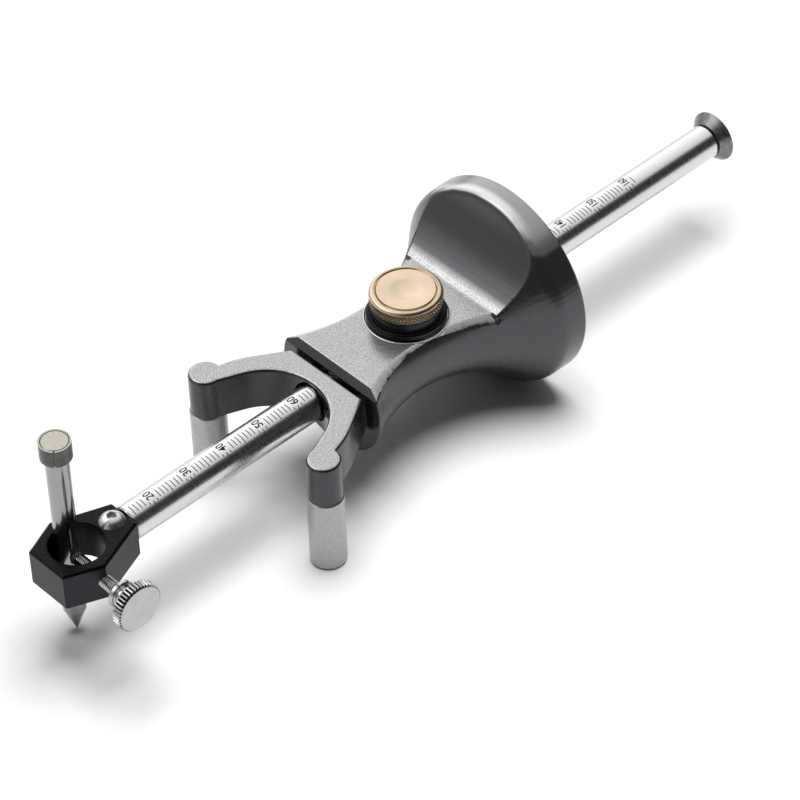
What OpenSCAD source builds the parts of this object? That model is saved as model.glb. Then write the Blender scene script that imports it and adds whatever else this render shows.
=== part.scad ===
// Carpenter scribe: a flanged stock on a two-legged fork, with a sliding rod that carries a scriber and a cutting wheel.
// Millimetres, +Z up, +X along the rod from the scriber to the wheel.
// The origin is on the ground under the middle of the tool's length; pieces are placed from the rod's axis.

/* [Guide rod] */
// Diameter of the rod
rod_d = 8; // [7.6:0.1:8.2]
// Rod's length behind the scribe head
rod_len = 173; // [165:1:200]
// Where the fence face stands along the rod, behind the scribe head
fence_at = 110.3; // [106:0.1:118]
// Diameter of the rod's end inside the scribe head
tenon_d = 5; // [4.4:0.1:5.2]
// Length of the rod's end inside the scribe head
tenon_len = 5.6; // [5:0.1:6]
// Break on the rod's edges
rod_chamfer = 0.3; // [0.2:0.1:0.5]

/* [Stock] */
// Diameter of the fence flange
fence_d = 48; // [44:0.5:50]
// Length of the stock from its front to the fence face
stock_len = 53; // [50:0.5:58]
// Radius of the stock at its waist
waist_r = 10.8; // [10.5:0.1:12]
// Radius of the hollow curve along the stock
waist_curve_r = 36; // [34:0.5:40]
// Distance of the waist in front of the fence face
waist_back = 35.6; // [34:0.1:37]
// Slope of the flare under the flange
flare_deg = 42; // [38:1:44]
// Rounding between the flare and the flange's rim
rim_round = 5; // [3:0.5:6]
// Height of the stock's top flat above the rod's axis
flat_h = 6.9; // [6.6:0.1:7.6]
// Distance from the fence face to the end of the top flat
wall_back = 17.6; // [16.5:0.1:18.5]
// Radius of the hollow wall behind the top flat
wall_r = 28; // [26:0.5:31]
// Slope of the wall at its foot
foot_deg = 34; // [31:1:37]
// Run of the bevel on the front of the top flat
front_bevel = 1.3; // [0.8:0.1:1.8]
// Drop of the bevel on the front of the top flat
bevel_drop = 2; // [1.6:0.1:2.2]
// Half width of the top flat at the waist, inside its side bevels
flat_half_w = 7.9; // [7.6:0.1:8.2]
// Radius of the side bevels, seen from above
bevel_curve_r = 39.5; // [37:0.5:42]
// Slope of the side bevels
bevel_deg = 35; // [30:1:40]
// Break on the stock's outer edges
edge_break = 0.4; // [0.2:0.1:0.6]

/* [Fork] */
// Thickness of the fork
fork_t = 10.5; // [10:0.1:11.5]
// Gap between the fork's hub and the stock
hub_gap = 1; // [0.6:0.1:1.5]
// Radius of the fork's hub
hub_r = 12.1; // [11.6:0.1:12.8]
// Length from the fork's rear to the legs
fork_reach = 18; // [17:0.5:20]
// Distance between the legs
leg_spacing = 37; // [35:0.5:38]
// Radius of the fork's inner arch
arch_r = 13.6; // [12.8:0.1:13.8]
// Width of the fork's arms
arm_w = 5.15; // [4.6:0.05:5.6]
// Radius of the fork's tips
tip_r = 3.75; // [3.5:0.05:3.95]
// Slope of the arms' inner sides beside the tips
tip_flare_deg = 22.8; // [18:0.2:25]
// Diameter of the fork's two spigots in the stock
spigot_d = 5; // [4.4:0.1:5.2]
// Distance between the fork's spigots
spigot_spacing = 16.4; // [16.2:0.1:16.8]
// Length of the fork's spigots behind its hub
spigot_len = 8.5; // [7:0.5:9.5]
// Room round the rod in the fork's crotch
crotch_gap = 0.7; // [0.4:0.1:0.9]

/* [Legs] */
// Diameter of the legs
leg_d = 8; // [7.6:0.1:8.4]
// Diameter of the legs' upper ends in the fork
leg_stud_d = 5; // [4:0.5:5]
// Length of the legs' upper ends in the fork
leg_stud_len = 7; // [5:0.5:8]
// Break on the legs' feet
foot_break = 0.5; // [0.3:0.1:0.8]
// Break on the legs' shoulders
shoulder_break = 0.2; // [0.1:0.1:0.3]

/* [Guide bushes] */
// Outer diameter of the bush in the stock's front
bush_front_d = 9.2; // [9:0.1:9.4]
// Length of the front bush
bush_front_len = 7; // [5:0.5:9]
// Depth of the front bush behind the stock's front
bush_front_in = 0.5; // [0.3:0.1:1.5]
// Outer diameter of the bush behind the flange
bush_rear_d = 12; // [11:0.5:13]
// Length of the rear bush
bush_rear_len = 11; // [8:0.5:12]
// Depth of the rear bush under the fence face
bush_rear_in = 1; // [0.5:0.1:2]

/* [Fork screws] */
// Thread diameter of the fork's set screws
set_d = 4; // [3:0.5:4]
// Length of the fork's set screws
set_len = 6; // [4:0.5:7]

/* [Lock] */
// Distance of the lock in front of the fence face
lock_back = 30.7; // [30:0.1:32]
// Diameter of the lock bush's flange
lock_bush_d = 17.5; // [16.6:0.1:17.6]
// Height of the lock bush's flange
lock_bush_flange_h = 2; // [1.6:0.1:2.4]
// Diameter of the lock bush above its flange
lock_bush_neck_d = 15.2; // [14:0.1:15.6]
// Height of the lock bush above its seat
lock_bush_h = 4; // [3.6:0.1:4.4]
// Diameter of the lock bush inside the stock
lock_spigot_d = 11; // [10:0.5:12]
// Depth of the machined seat under the lock bush
seat_depth = 0.3; // [0.2:0.1:0.5]
// Margin of the machined seat round the lock bush
seat_margin = 0.4; // [0.2:0.1:0.6]
// Diameter of the brass knob
knob_d = 16.1; // [15:0.1:17]
// Height of the brass knob
knob_h = 3.3; // [3:0.1:4.2]
// Rounding of the knob's shoulder
knob_round = 1; // [0.6:0.1:1.2]
// Radius of the groove in the knob's top
knob_groove_r = 6.8; // [6:0.1:6.9]
// Radius of the dish in the knob's top
knob_dish_r = 4.6; // [3.5:0.1:5]
// Thread diameter of the lock stud
lock_stud_d = 6; // [5:0.5:6]
// Thickness of the pad above the rod
lock_pad_t = 1.2; // [1:0.1:1.5]

/* [Cutting wheel] */
// Diameter of the cutting wheel
wheel_d = 12.1; // [11:0.1:13]
// Diameter of the wheel's small end
wheel_small_d = 8.4; // [8:0.1:9]
// Thickness of the wheel's bevelled part
wheel_t = 2.3; // [2:0.1:3]
// Diameter of the collar between the wheel and the rod
wheel_collar_d = 6.6; // [6:0.1:7.2]
// Length of the collar between the wheel and the rod
wheel_collar_len = 0.4; // [0.2:0.1:0.6]
// Thread diameter of the wheel's screw
wheel_screw_d = 3; // [2.5:0.5:3]
// Length of the wheel's screw in the rod
wheel_screw_len = 7; // [5:0.5:9]

/* [Scribe head] */
// Thickness of the head
head_t = 9.6; // [9.2:0.1:10.4]
// Distance from the rod's axis to the head's top
head_up = 3.6; // [3.4:0.1:4.2]
// Distance of the scriber hole in front of the head's rear face
hole_back = 12.7; // [12.7:0.1:13.5]
// Diameter of the scriber hole
hole_d = 12; // [11.6:0.1:12.4]
// Width of the head's rear face
head_rear_w = 8.1; // [7.8:0.1:9]
// Width of the head across the scriber hole
head_mid_w = 17.8; // [17.4:0.1:19]
// Width of the head's front face
head_front_w = 10.8; // [10.4:0.1:12]
// Distance from the scriber hole to the head's front face
head_front = 8.3; // [8:0.1:9]
// Bevel on the head's top and bottom edges
head_bevel = 0.5; // [0.3:0.1:0.7]

/* [Head screw] */
// Thread diameter of the head's screw
head_screw_d = 3; // [2.5:0.5:3]
// Diameter of its button head
button_d = 5.7; // [5:0.1:6]
// Height of its button head
button_h = 1.65; // [1.4:0.05:1.9]
// Width across the flats of its socket
socket_w = 2; // [1.5:0.1:2.5]
// Length of the screw under its head
head_screw_len = 6; // [5:0.5:7]

/* [Thumbscrew] */
// Thread diameter of the thumbscrew
thumb_d = 3; // [2.5:0.5:3]
// Depth of the thumbscrew's axis under the rod's axis
thumb_down = 1.2; // [0.8:0.1:1.6]
// Diameter of the thumbscrew's head
thumb_head_d = 11.2; // [10:0.1:12]
// Thickness of the thumbscrew's head
thumb_head_t = 2.6; // [2:0.1:3]
// Diameter of the thumbscrew's neck
thumb_neck_d = 4.6; // [4:0.1:5]
// Length of the thumbscrew's neck
thumb_neck_len = 2.8; // [2:0.1:3.5]
// Diameter of the thumbscrew's collar
thumb_collar_d = 6.2; // [5.5:0.1:7]
// Thickness of the thumbscrew's collar
thumb_collar_t = 1.1; // [0.8:0.1:1.5]
// Bare shank between the head's side and the collar
thumb_bare = 3.9; // [3:0.1:5]
// Length of the dark tip beyond the shank
thumb_tip_len = 1; // [0.8:0.1:1.4]
// Diameter of the stem that holds the dark tip in the shank
thumb_stem_d = 1.4; // [1.2:0.1:1.6]
// Length of that stem
thumb_stem_len = 2; // [1.5:0.1:3]

/* [Scriber] */
// Diameter of the scriber
scriber_d = 5; // [4.6:0.1:5.4]
// Length of the scriber's point
point_len = 6.4; // [5:0.1:8]
// Flat on the scriber's point
point_flat_d = 0.3; // [0.2:0.05:0.5]
// Height of the scriber's point above the ground
point_up = 0.2; // [0.1:0.1:1]
// Overall length of the scriber
scriber_len = 54; // [50:1:60]
// Diameter of the scriber's upper end
scriber_head_d = 6; // [5.8:0.1:6.6]
// Height of the scriber's upper end
scriber_head_h = 4.2; // [3.6:0.1:6]
// Wall of the sleeve on the upper end
sleeve_wall = 0.4; // [0.3:0.05:0.6]
// Width of the slit in the sleeve
sleeve_slit = 0.3; // [0.2:0.05:0.4]

/* [Fits] */
// Running clearance between moving round pieces, on the radius
run_gap = 0.03; // [0.02:0.01:0.06]
// Clearance of pressed and screwed pieces, on the radius
seat_gap = 0.01; // [0.01:0.005:0.02]
// Clearance of holes that only let a piece through, on the radius
pass_gap = 0.4; // [0.3:0.05:0.45]
// Gap under the brass knob when the lock is tight
knob_gap = 0.3; // [0.2:0.05:0.5]
// Gap between pieces that press on each other across a joint
touch_gap = 0.02; // [0.01:0.005:0.05]

/* [Hidden] */
$fn = 64;
over = 1;
axis_h = fence_d / 2;
rod_r = rod_d / 2;

// Places along the rod, from the head's rear face
x_hole = -hole_back;
x_front = x_hole - head_front;
x_end = rod_len + wheel_collar_len + wheel_t;
x_mid = (x_front + x_end) / 2;
x_fence = fence_at;
x_stock = x_fence - stock_len;
x_waist = x_fence - waist_back;
x_lock = x_fence - lock_back;
x_hub = x_stock - hub_gap;
x_leg = x_hub - fork_reach;
x_spigot_end = x_hub + spigot_len;
x_bush_end = x_stock + bush_front_in + bush_front_len;
x_wall = x_fence - wall_back;
x_head_screw = (x_hole + hole_d / 2) / 2;

// Flare of the stock
curve_c = waist_r + waist_curve_r;
front_r = curve_c - sqrt(waist_curve_r * waist_curve_r - pow(x_waist - x_stock, 2));
flare_x = x_waist + waist_curve_r * sin(flare_deg);
flare_r = curve_c - waist_curve_r * cos(flare_deg);
rim_r = fence_d / 2;
round_start_r = rim_r - rim_round * (1 - cos(flare_deg));
round_start_x = flare_x + (round_start_r - flare_r) / tan(flare_deg);
round_end_x = round_start_x + rim_round * sin(flare_deg);

// Wall behind the top flat, and the depth its side bevels are cut to
wall_x = x_wall - wall_r * sin(foot_deg);
wall_z = flat_h + wall_r * cos(foot_deg);
side_drop = 1.3 * bevel_drop;

// Fork
fork_z = fork_t / 2;
leg_y = leg_spacing / 2;
arm_r = arch_r + arm_w;
spigot_y = spigot_spacing / 2;
hub_half = sqrt(hub_r * hub_r - fork_z * fork_z);
neck_d = norm([fork_reach, hub_half]);
neck_deg = atan2(hub_half, fork_reach) + acos(arm_r / neck_d);

// Lock
z_seat = flat_h - seat_depth;
z_bush_top = z_seat + lock_bush_h;
z_knob = z_bush_top + knob_gap;
z_knob_top = z_knob + knob_h;
bore_r = rod_r + pass_gap;

// Scriber and thumbscrew
y_scriber = hole_d / 2 - scriber_d / 2 - touch_gap;
z_point = -axis_h + point_up;
z_sleeve = z_point + scriber_len - scriber_head_h;
head_bottom = head_up - head_t;
y_tip = y_scriber - scriber_d / 2 - touch_gap;
y_shank = y_tip - thumb_tip_len;
y_collar = -head_mid_w / 2 - thumb_bare;
y_neck = y_collar - thumb_collar_t;
y_knurl = y_neck - thumb_neck_len;
y_face = y_knurl - thumb_head_t;

// Puts a piece drawn about the rod's axis into the tool's frame.
module place() {
    translate([-x_mid, 0, axis_h]) children();
}

// Turns a shape made about Z so that Z runs along the rod.
module along_rod(x) {
    translate([x, 0, 0]) rotate([0, 90, 0]) children();
}

// Plain bar along the rod, from one place to another.
module bar(x0, x1, r) {
    along_rod(x0) cylinder(h = x1 - x0, r = r);
}

// Ring along the rod.
module ring_bar(x0, x1, r, r_in) {
    difference() {
        bar(x0, x1, r);
        bar(x0 - over, x1 + over, r_in);
    }
}

// Outline of the stock beside its axis: radius across, place along the rod upwards.
module stock_outline() {
    difference() {
        translate([0, x_stock]) square([rim_r, stock_len]);
        translate([curve_c, x_waist]) circle(r = waist_curve_r, $fn = 128);
        polygon([[flare_r, flare_x], [round_start_r, round_start_x], [rim_r, round_end_x],
                 [rim_r + over, round_end_x], [rim_r + over, flare_x]]);
        for (edge = [[rim_r, x_fence], [front_r, x_stock]])
            translate(edge) rotate(45) square(edge_break * sqrt(2), center = true);
    }
    intersection() {
        translate([rim_r - rim_round, round_end_x]) circle(r = rim_round);
        translate([0, round_start_x]) square([rim_r, round_end_x - round_start_x]);
    }
}

// Space above the top flat, seen from the side, ending at the hollow wall.
module top_space() {
    high = 2 * wall_r;
    intersection() {
        union() {
            translate([wall_x, wall_z]) circle(r = wall_r, $fn = 128);
            translate([x_stock - over, flat_h]) square([wall_x - x_stock + over, high]);
        }
        translate([x_stock - over, flat_h]) square([stock_len + over, high]);
    }
}

// Bevels along the flat's long edges, cut by cones that stand on the ground.
module side_bevels() {
    low_r = bevel_curve_r - side_drop / tan(bevel_deg);
    intersection() {
        for (side = [-1, 1])
            translate([x_waist, side * (flat_half_w + bevel_curve_r), flat_h - side_drop])
                cylinder(h = side_drop, r1 = low_r, r2 = bevel_curve_r, $fn = 128);
        translate([x_stock - over, -rim_r, flat_h - side_drop]) cube([x_wall - x_stock + over, fence_d, side_drop]);
    }
}

// Tapped holes for the fork's set screws, and the screws themselves.
module set_screw_bars(z_top, length, r) {
    for (side = [-1, 1])
        translate([(x_stock + x_spigot_end) / 2, side * spigot_y, -z_top - length])
            cylinder(h = length, r = r);
}

// Bars for the fork's spigots, and for their holes in the stock.
module spigot_bars(x0, r) {
    for (side = [-1, 1])
        translate([0, side * spigot_y, 0]) bar(x0, x_spigot_end, r);
}

// Cast stock: turned body, top flat, wall and bores.
module stock_body() {
    color("#4b5052") place() difference() {
        rotate([0, 90, 0]) rotate_extrude($fn = 128) stock_outline();
        rotate([90, 0, 0]) translate([0, 0, -rim_r - over])
            linear_extrude(fence_d + 2 * over) top_space();
        side_bevels();
        rotate([90, 0, 0]) translate([0, 0, -rim_r])
            linear_extrude(fence_d)
                polygon([[x_stock, flat_h - bevel_drop], [x_stock + front_bevel, flat_h],
                         [x_stock, flat_h + over], [x_stock - over, flat_h + over], [x_stock - over, flat_h - bevel_drop]]);
        bar(x_stock - over, x_fence + over, bore_r);
        bar(x_stock - over, x_bush_end, bush_front_d / 2 + seat_gap);
        spigot_bars(x_stock - over, spigot_d / 2 + seat_gap);
        bar(x_fence - bush_rear_in - bush_rear_len, x_fence + over, bush_rear_d / 2 + seat_gap);
        translate([x_lock, 0, z_seat]) cylinder(h = fence_d, r = lock_bush_d / 2 + seat_margin);
        translate([x_lock, 0, 0]) cylinder(h = fence_d, r = lock_spigot_d / 2 + seat_gap);
        set_screw_bars(0, rim_r, set_d / 2 + seat_gap);
    }
}

// Plan of the fork: round arch, neck and tips.
module fork_plan() {
    neck = [x_leg + arm_r * cos(neck_deg), arm_r * sin(neck_deg)];
    flare = [x_leg + arch_r * sin(tip_flare_deg), arch_r * cos(tip_flare_deg)];
    ahead = arch_r + 2 * tip_r;
    spread = flare[1] + ahead * tan(tip_flare_deg);
    difference() {
        union() {
            intersection() {
                translate([x_leg, 0]) circle(r = arm_r, $fn = 128);
                translate([x_leg, -arm_r]) square([fork_reach, 2 * arm_r]);
            }
            polygon([[neck[0], neck[1]], [x_hub, hub_half], [x_hub, -hub_half], [neck[0], -neck[1]]]);
        }
        translate([x_leg, 0]) circle(r = arch_r, $fn = 128);
        polygon([flare, [flare[0] - ahead, spread], [flare[0] - ahead, -spread], [flare[0], -flare[1]]]);
    }
    for (side = [-1, 1])
        translate([x_leg, side * leg_y]) circle(r = tip_r);
}

// Fork casting: plate, round hub, spigots and bores.
module fork() {
    x_crotch = x_leg + arch_r;
    color("#565b5d") place() difference() {
        union() {
            translate([0, 0, -fork_z]) linear_extrude(fork_t) fork_plan();
            intersection() {
                bar((x_crotch + x_hub) / 2, x_hub, hub_r);
                translate([x_crotch, -hub_r, -fork_z]) cube([fork_reach, 2 * hub_r, fork_t]);
            }
            spigot_bars(x_hub - over, spigot_d / 2);
        }
        bar(x_leg, x_hub + over, rod_r + crotch_gap);
        for (side = [-1, 1])
            translate([x_leg, side * leg_y, -fork_z - over])
                cylinder(h = leg_stud_len + over, r = leg_stud_d / 2 + seat_gap);
    }
}

// Two set screws with hexagon sockets, from below the stock to the fork's spigots.
module fork_screws() {
    color("#2b2c2e") place() difference() {
        set_screw_bars(spigot_d / 2, set_len, set_d / 2);
        set_screw_bars(spigot_d / 2 + set_len / 2, set_len, set_d / 4, $fn = 6);
    }
}

// One leg, with a broken foot edge and a threaded upper end.
module leg(side) {
    leg_r = leg_d / 2;
    leg_len = axis_h - fork_z;
    color("#b9bbbc") place() translate([x_leg, side * leg_y, -axis_h]) rotate_extrude()
        polygon([[0, 0], [leg_r - foot_break, 0], [leg_r, foot_break], [leg_r, leg_len - shoulder_break],
                 [leg_r - shoulder_break, leg_len], [leg_stud_d / 2, leg_len],
                 [leg_stud_d / 2, leg_len + leg_stud_len], [0, leg_len + leg_stud_len]]);
}

module leg_left() {
    leg(1);
}

module leg_right() {
    leg(-1);
}

// Plain bush in the stock's front.
module bush_front() {
    color("#a9773f") place()
        ring_bar(x_bush_end - bush_front_len, x_bush_end, bush_front_d / 2, rod_r + run_gap);
}

// Plain bush behind the fence face.
module bush_rear() {
    x_out = x_fence - bush_rear_in;
    color("#a9773f") place()
        ring_bar(x_out - bush_rear_len, x_out, bush_rear_d / 2, rod_r + run_gap);
}

// Rod with a stepped front end, a cross hole for the head's screw and a tapped rear end.
module guide_rod() {
    color("#c9cacb") place() difference() {
        along_rod(0) rotate_extrude()
            polygon([[0, -tenon_len], [tenon_d / 2, -tenon_len], [tenon_d / 2, 0],
                     [rod_r - rod_chamfer, 0], [rod_r, rod_chamfer], [rod_r, rod_len - rod_chamfer],
                     [rod_r - rod_chamfer, rod_len], [0, rod_len]]);
        translate([x_head_screw, 0, -tenon_d]) cylinder(h = 2 * tenon_d, r = head_screw_d / 2 + seat_gap);
        bar(rod_len - wheel_screw_len - over, rod_len + over, wheel_screw_d / 2 + seat_gap);
    }
}

// Black collar with a spigot in the stock and a thread for the stud.
module lock_bush() {
    z_low = rod_r + pass_gap;
    color("#151617") place() translate([x_lock, 0, 0]) difference() {
        rotate_extrude()
            polygon([[0, z_low], [lock_spigot_d / 2, z_low], [lock_spigot_d / 2, z_seat], [lock_bush_d / 2, z_seat],
                     [lock_bush_d / 2, z_seat + lock_bush_flange_h - edge_break],
                     [lock_bush_d / 2 - edge_break, z_seat + lock_bush_flange_h],
                     [lock_bush_neck_d / 2, z_seat + lock_bush_flange_h], [lock_bush_neck_d / 2, z_bush_top],
                     [0, z_bush_top]]);
        cylinder(h = fence_d, r = lock_stud_d / 2 + run_gap);
    }
}

// Pad with a hollow underside that rests on the rod.
module lock_pad() {
    color("#b9a06a") place() difference() {
        translate([x_lock, 0, 0]) cylinder(h = rod_r + lock_pad_t, r = lock_stud_d / 2 - run_gap);
        bar(x_lock - lock_stud_d, x_lock + lock_stud_d, rod_r + touch_gap);
        translate([x_lock - lock_stud_d, -lock_stud_d, -over])
            cube([2 * lock_stud_d, 2 * lock_stud_d, rod_r * 0.6 + over]);
    }
}

// Stud from the pad up into the knob.
module lock_stud() {
    z_low = rod_r + lock_pad_t + touch_gap;
    color("#8d8f90") place() translate([x_lock, 0, z_low])
        cylinder(h = z_knob + knob_h / 2 - z_low, r = lock_stud_d / 2);
}

// Brass knob with a grooved, dished top.
module lock_knob() {
    knob_r = knob_d / 2;
    dish_depth = 0.35;
    dish_r = (knob_dish_r * knob_dish_r + dish_depth * dish_depth) / (2 * dish_depth);
    color("#c8a25c") place() translate([x_lock, 0, z_knob]) difference() {
        rotate_extrude() difference() {
            union() {
                square([knob_r, knob_h - knob_round]);
                square([knob_r - knob_round, knob_h]);
                translate([knob_r - knob_round, knob_h - knob_round]) circle(r = knob_round);
            }
            translate([knob_groove_r, knob_h]) circle(r = 0.3, $fn = 24);
            translate([-fence_d, 0]) square([fence_d, fence_d], center = false);
        }
        translate([0, 0, knob_h - dish_depth + dish_r]) sphere(r = dish_r, $fn = 128);
        translate([0, 0, -over]) cylinder(h = over + knob_h / 2, r = lock_stud_d / 2 + seat_gap);
    }
}

// Bevelled wheel with a short collar against the rod and a countersunk hole.
module cutter_wheel() {
    screw_r = wheel_screw_d / 2;
    full = wheel_collar_len + wheel_t;
    land = 0.1;
    color("#3c3f42") place() along_rod(rod_len) rotate_extrude()
        polygon([[screw_r + seat_gap, 0], [wheel_collar_d / 2, 0], [wheel_collar_d / 2, wheel_collar_len],
                 [wheel_small_d / 2, wheel_collar_len], [wheel_d / 2, full - land], [wheel_d / 2, full],
                 [2 * screw_r + seat_gap, full], [screw_r + seat_gap, full - screw_r]]);
}

// Countersunk screw with a hexagon socket, flush with the wheel.
module cutter_screw() {
    screw_r = wheel_screw_d / 2;
    full = wheel_collar_len + wheel_t;
    color("#2f3133") place() along_rod(rod_len) difference() {
        rotate_extrude()
            polygon([[0, -wheel_screw_len], [screw_r, -wheel_screw_len], [screw_r, full - screw_r],
                     [2 * screw_r, full], [0, full]]);
        translate([0, 0, full - screw_r]) cylinder(h = screw_r + over, r = screw_r * 0.75, $fn = 6);
    }
}

// Corners of the head seen from above.
function head_corners() = [
    [0, head_rear_w / 2], [x_hole, head_mid_w / 2], [x_front, head_front_w / 2],
    [x_front, -head_front_w / 2], [x_hole, -head_mid_w / 2], [0, -head_rear_w / 2]];

// Six-sided block with bevelled edges, the scriber hole, the rod's socket and two screw holes.
module scribe_head() {
    pts = head_corners();
    color("#17181a") place() difference() {
        translate([0, 0, head_bottom]) linear_extrude(head_t) polygon(pts);
        for (i = [0 : 5]) {
            a = pts[i];
            b = pts[(i + 1) % 6];
            for (z = [head_bottom, head_up])
                translate([(a[0] + b[0]) / 2, (a[1] + b[1]) / 2, z])
                    rotate([0, 0, atan2(b[1] - a[1], b[0] - a[0])]) rotate([45, 0, 0])
                        cube([2 * head_mid_w, head_bevel * sqrt(2), head_bevel * sqrt(2)], center = true);
        }
        translate([x_hole, 0, head_bottom - over]) cylinder(h = head_t + 2 * over, r = hole_d / 2);
        bar(-tenon_len - seat_gap, over, tenon_d / 2 + seat_gap);
        translate([x_head_screw, 0, head_up - head_screw_len - touch_gap])
            cylinder(h = head_screw_len + over, r = head_screw_d / 2 + seat_gap);
        translate([x_hole, -head_mid_w, -thumb_down]) rotate([-90, 0, 0])
            cylinder(h = head_mid_w, r = thumb_d / 2 + run_gap);
    }
}

// Button-head screw with a hexagon socket, through the head into the rod's end.
module head_screw() {
    dome_r = (button_d * button_d / 4 + button_h * button_h) / (2 * button_h);
    color("#c4c5c6") place() translate([x_head_screw, 0, head_up]) difference() {
        union() {
            intersection() {
                translate([0, 0, button_h - dome_r]) sphere(r = dome_r);
                cylinder(h = button_h, r = button_d / 2);
            }
            translate([0, 0, -head_screw_len]) cylinder(h = head_screw_len + button_h / 2, r = head_screw_d / 2);
        }
        translate([0, 0, button_h * 0.35]) cylinder(h = button_h, r = socket_w / sqrt(3), $fn = 6);
    }
}

// Turns a shape made about Z so that Z runs along the thumbscrew, away from the head.
module along_thumb() {
    translate([x_hole, 0, -thumb_down]) rotate([90, 0, 0]) children();
}

// Thumbscrew: head, neck, collar, shank and a socket for the tip.
module thumb_screw() {
    shank_r = thumb_d / 2;
    head_r = thumb_head_d / 2;
    rim = 0.3;
    color("#c9c9c7") place() along_thumb() rotate_extrude()
        polygon([[thumb_stem_d / 2 + run_gap, -y_shank], [shank_r, -y_shank], [shank_r, -y_collar],
                 [thumb_collar_d / 2, -y_collar], [thumb_collar_d / 2, -y_neck], [thumb_neck_d / 2, -y_neck],
                 [thumb_neck_d / 2, -y_knurl], [head_r - rim, -y_knurl], [head_r, -y_knurl + rim],
                 [head_r, -y_face - rim], [head_r - rim, -y_face], [0, -y_face],
                 [0, -y_shank + thumb_stem_len + touch_gap],
                 [thumb_stem_d / 2 + run_gap, -y_shank + thumb_stem_len + touch_gap]]);
}

// Dark tip that turns freely in the thumbscrew's end and presses on the scriber.
module thumb_tip() {
    color("#1c1c1c") place() along_thumb() rotate_extrude()
        polygon([[0, -y_tip], [thumb_d / 2 - 2 * run_gap, -y_tip], [thumb_d / 2 - 2 * run_gap, -y_shank - touch_gap],
                 [thumb_stem_d / 2, -y_shank - touch_gap], [thumb_stem_d / 2, -y_shank + thumb_stem_len],
                 [0, -y_shank + thumb_stem_len]]);
}

// Scriber with a conical point and a wider upper end.
module scriber_pin() {
    scriber_r = scriber_d / 2;
    rim = 0.2;
    color("#a5a7a8") place() translate([x_hole, y_scriber, z_point]) rotate_extrude()
        polygon([[0, 0], [point_flat_d / 2, 0], [scriber_r, point_len], [scriber_r, scriber_len - scriber_head_h],
                 [scriber_head_d / 2, scriber_len - scriber_head_h], [scriber_head_d / 2, scriber_len - rim],
                 [scriber_head_d / 2 - rim, scriber_len], [0, scriber_len]]);
}

// Thin split sleeve on the scriber's upper end.
module scriber_sleeve() {
    sleeve_r = scriber_head_d / 2 + seat_gap;
    slit_deg = 228;
    color("#3f3d3a") place() translate([x_hole, y_scriber, z_sleeve]) difference() {
        cylinder(h = scriber_head_h, r = sleeve_r + sleeve_wall);
        translate([0, 0, -over]) cylinder(h = scriber_head_h + 2 * over, r = sleeve_r);
        rotate([0, 0, slit_deg]) translate([0, -sleeve_slit / 2, -over])
            cube([2 * sleeve_r, sleeve_slit, scriber_head_h + 2 * over]);
    }
}

stock_body();
fork();
fork_screws();
leg_left();
leg_right();
bush_front();
bush_rear();
guide_rod();
lock_bush();
lock_pad();
lock_stud();
lock_knob();
cutter_wheel();
cutter_screw();
scribe_head();
head_screw();
thumb_screw();
thumb_tip();
scriber_pin();
scriber_sleeve();
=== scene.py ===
import math

import bpy
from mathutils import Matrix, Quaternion, Vector


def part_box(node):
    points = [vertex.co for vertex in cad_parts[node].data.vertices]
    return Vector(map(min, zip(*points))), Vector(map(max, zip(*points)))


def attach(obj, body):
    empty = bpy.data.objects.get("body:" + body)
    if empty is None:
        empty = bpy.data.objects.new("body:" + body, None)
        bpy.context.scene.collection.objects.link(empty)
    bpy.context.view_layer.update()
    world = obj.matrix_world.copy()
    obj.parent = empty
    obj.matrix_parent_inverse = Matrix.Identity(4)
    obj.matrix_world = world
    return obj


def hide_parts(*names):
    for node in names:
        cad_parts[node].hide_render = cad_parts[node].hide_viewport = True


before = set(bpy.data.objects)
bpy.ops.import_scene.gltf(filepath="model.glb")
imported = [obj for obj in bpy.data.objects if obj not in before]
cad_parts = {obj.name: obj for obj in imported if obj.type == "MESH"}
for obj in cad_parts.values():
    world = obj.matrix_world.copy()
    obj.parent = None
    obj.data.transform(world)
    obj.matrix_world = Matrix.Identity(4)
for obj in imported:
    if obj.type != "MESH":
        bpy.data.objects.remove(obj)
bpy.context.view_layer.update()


# Stock: an aluminium casting turned to a waisted bell, with a milled flat on top and a hollow wall
# behind it. It has a satin gunmetal finish with fine flecks on the milled faces, and painted light makes
# it lighter where a face looks up. Its edges are eased, and the lip of the wall is well rounded; a
# painted highlight lies on some slopes and on the rim beside the lip.
STOCK_EDGE = 0.00032
CAST_EDGE_ANGLE = 24
EDGE_STEPS = 3
SMOOTH_ANGLE = 40
FLAT_ANGLE = 0.3
FLAT_WEIGHT = 100
SOLID_WELD = 2e-6
GUNMETAL = (0.080, 0.083, 0.087, 1)
# painted light: the lighter colour of upward faces, and of the flecks on them, stands for light falling
# from above
GUNMETAL_PAINTED_LIGHT = (0.28, 0.285, 0.285, 1)
PAINTED_LIT_FLECK_DARK = (0.255, 0.259, 0.257, 1)
PAINTED_LIT_FLECK_LIGHT = (0.475, 0.48, 0.475, 1)
FLECK_SPAN = (0.34, 0.66)
# painted highlight along some edges and slopes
EDGE_PAINTED_HIGHLIGHT = (0.60, 0.605, 0.605, 1)
CAST_GRAINS = 4200
CAST_PATCHES = 900
CAST_METAL = 0.8
CAST_ROUGH = (0.22, 0.28)
# most of a grain's values lie between these
GRAIN_SPAN = (0.3, 0.7)
# by the upward share of a face's direction, where the painted light on upward faces starts and is
# complete, and how much sooner it does so round the rim
PAINTED_LIGHT_FROM = 0.755
PAINTED_LIGHT_FULL = 0.80
RIM_FROM = 0.0405
RIM_FADE = 0.002
RIM_PAINTED_LIGHT_SOONER = 0.06
# by the sideways share, how much of the painted highlight shows on the flat's side bevels
STOCK_BEVEL_HIGHLIGHT = ((0.46, 0), (0.50, 0.8), (0.64, 0.8), (0.68, 0))
# the flecked faces all lie below this height
FLECKS_TO = 0.0330
FLECKS_FADE = 0.0006
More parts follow.
